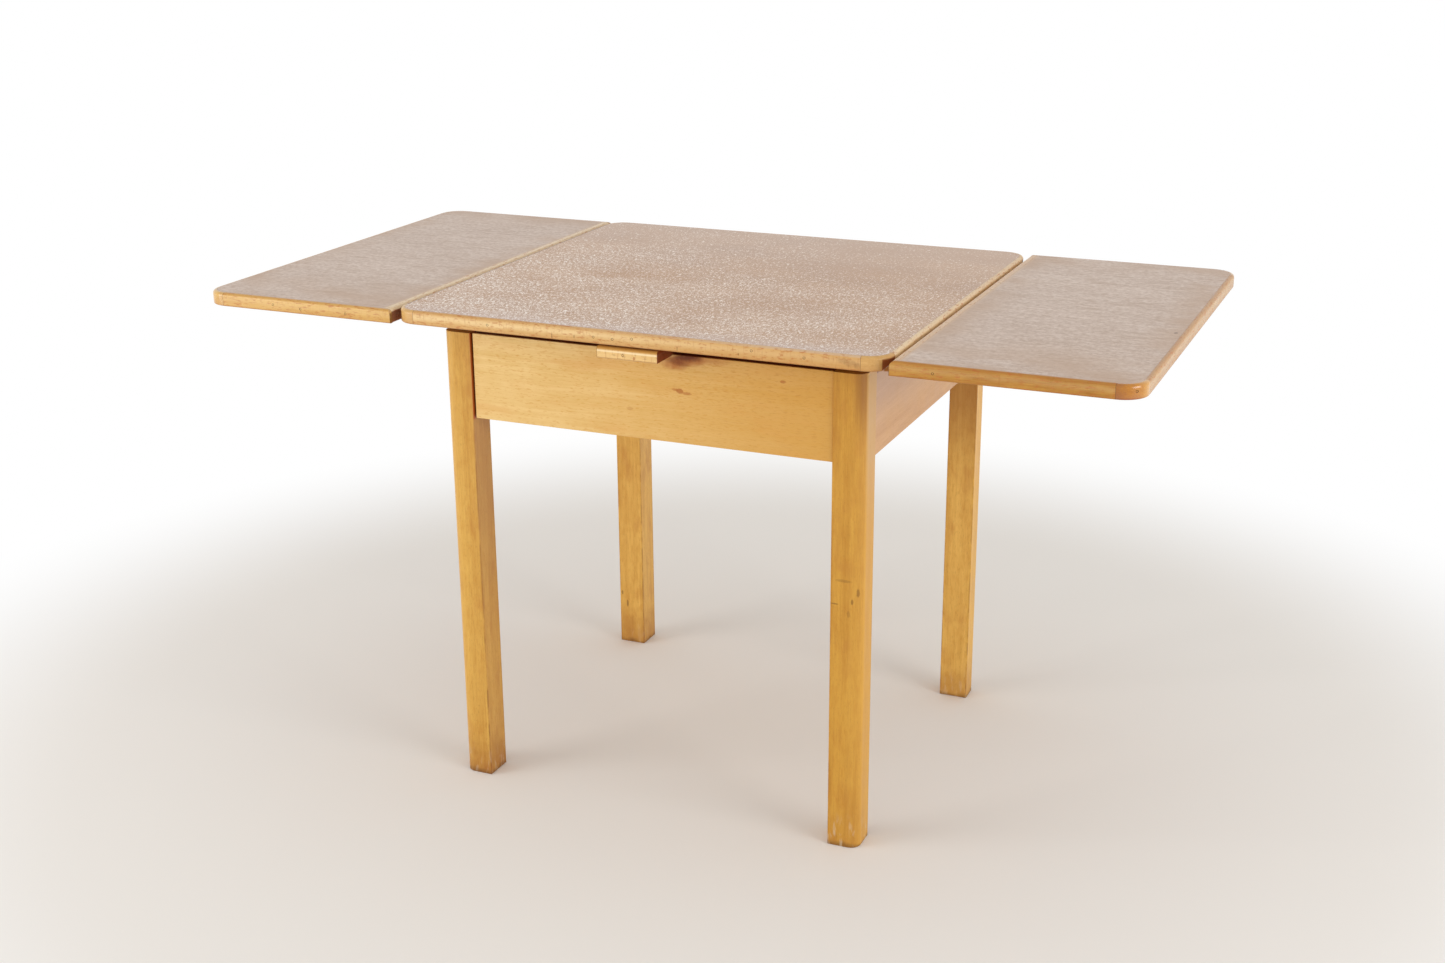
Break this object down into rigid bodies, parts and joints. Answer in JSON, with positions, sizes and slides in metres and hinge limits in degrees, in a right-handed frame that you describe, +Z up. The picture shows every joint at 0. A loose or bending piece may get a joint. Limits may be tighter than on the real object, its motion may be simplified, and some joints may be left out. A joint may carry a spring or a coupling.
{
  "type": "draw-leaf table",
  "caption": "Wooden draw-leaf kitchen table, both leaves drawn out beside the speckled laminate top, square legs, and a drawer with a block pull in the front.",
  "frame": {"origin": "on the floor, under the middle of the table", "axes": "+Z up, +X along the leaves to the right of someone who faces the drawer, +Y from the drawer to the back"},
  "size_m": [1.404, 0.712, 0.75],
  "materials": {
    "screw_steel": "dull steel",
    "top_laminate": "speckled pinkish-brown laminate, satin",
    "leaf_laminate": "speckled pinkish-brown laminate, satin, fewer flecks",
    "core_board": "plain softwood board, unfinished below",
    "leg_beech": "honey-lacquered beech",
    "apron_beech": "lacquered beech, pinkish",
    "front_beech": "honey-lacquered beech, light",
    "lipping_beech": "lacquered beech, pale to gold",
    "plywood": "thin plywood",
    "inner_beech": "plain beech"
  },
  "bodies": {
    "frame": {"apron_back": "apron_beech", "apron_left": "apron_beech", "apron_right": "apron_beech", "centre_board": "inner_beech", "centre_board_screws": "screw_steel", "drawer_runner_left": "inner_beech", "drawer_runner_right": "inner_beech", "leg_back_left": "leg_beech", "leg_back_right": "leg_beech", "leg_front_left": "leg_beech", "leg_front_right": "leg_beech", "rail_front_lower": "inner_beech", "rail_front_upper": "inner_beech", "runner_screws": "screw_steel"},
    "top": {"top_core": "core_board", "top_corner_pieces": "lipping_beech", "top_guide_pegs": "inner_beech", "top_laminate": "top_laminate", "top_lipping_back": "lipping_beech", "top_lipping_front": "lipping_beech", "top_lipping_left": "lipping_beech", "top_lipping_right": "lipping_beech"},
    "leaf_left": {"leaf_left_core": "core_board", "leaf_left_corner_pieces": "lipping_beech", "leaf_left_laminate": "leaf_laminate", "leaf_left_lipping_back": "lipping_beech", "leaf_left_lipping_front": "lipping_beech", "leaf_left_lipping_nose": "lipping_beech", "leaf_left_lipping_outer": "lipping_beech", "leaf_left_loper_back": "inner_beech", "leaf_left_loper_front": "inner_beech", "leaf_left_loper_screws": "screw_steel", "leaf_left_stop_pegs": "inner_beech"},
    "leaf_right": {"leaf_right_core": "core_board", "leaf_right_corner_pieces": "lipping_beech", "leaf_right_laminate": "leaf_laminate", "leaf_right_lipping_back": "lipping_beech", "leaf_right_lipping_front": "lipping_beech", "leaf_right_lipping_nose": "lipping_beech", "leaf_right_lipping_outer": "lipping_beech", "leaf_right_loper_back": "inner_beech", "leaf_right_loper_front": "inner_beech", "leaf_right_loper_screws": "screw_steel", "leaf_right_stop_pegs": "inner_beech"},
    "drawer": {"drawer_back": "inner_beech", "drawer_bottom": "plywood", "drawer_front": "front_beech", "drawer_pull": "front_beech", "drawer_side_left": "inner_beech", "drawer_side_right": "inner_beech", "pull_screws": "screw_steel"}
  },
  "joints": [
    {"name": "top_lift", "type": "slide", "parent": "frame", "child": "top", "axis": [0, 0, 1], "range_m": [0, 0.378]},
    {"name": "leaf_right_slide", "type": "slide", "parent": "frame", "child": "leaf_right", "axis": [-0.9984, 0, -0.0567], "range_m": [0, 0.32452]},
    {"name": "leaf_left_slide", "type": "slide", "parent": "frame", "child": "leaf_left", "axis": [0.9984, 0, -0.0567], "range_m": [0, 0.32452]},
    {"name": "drawer_slide", "type": "slide", "parent": "frame", "child": "drawer", "axis": [0, -1, 0], "range_m": [0, 0.3]}
  ],
  "couplings": [
    {"joint": "leaf_right_slide", "follows": "top_lift", "ratio": 0.8585},
    {"joint": "leaf_left_slide", "follows": "top_lift", "ratio": 0.8585}
  ]
}
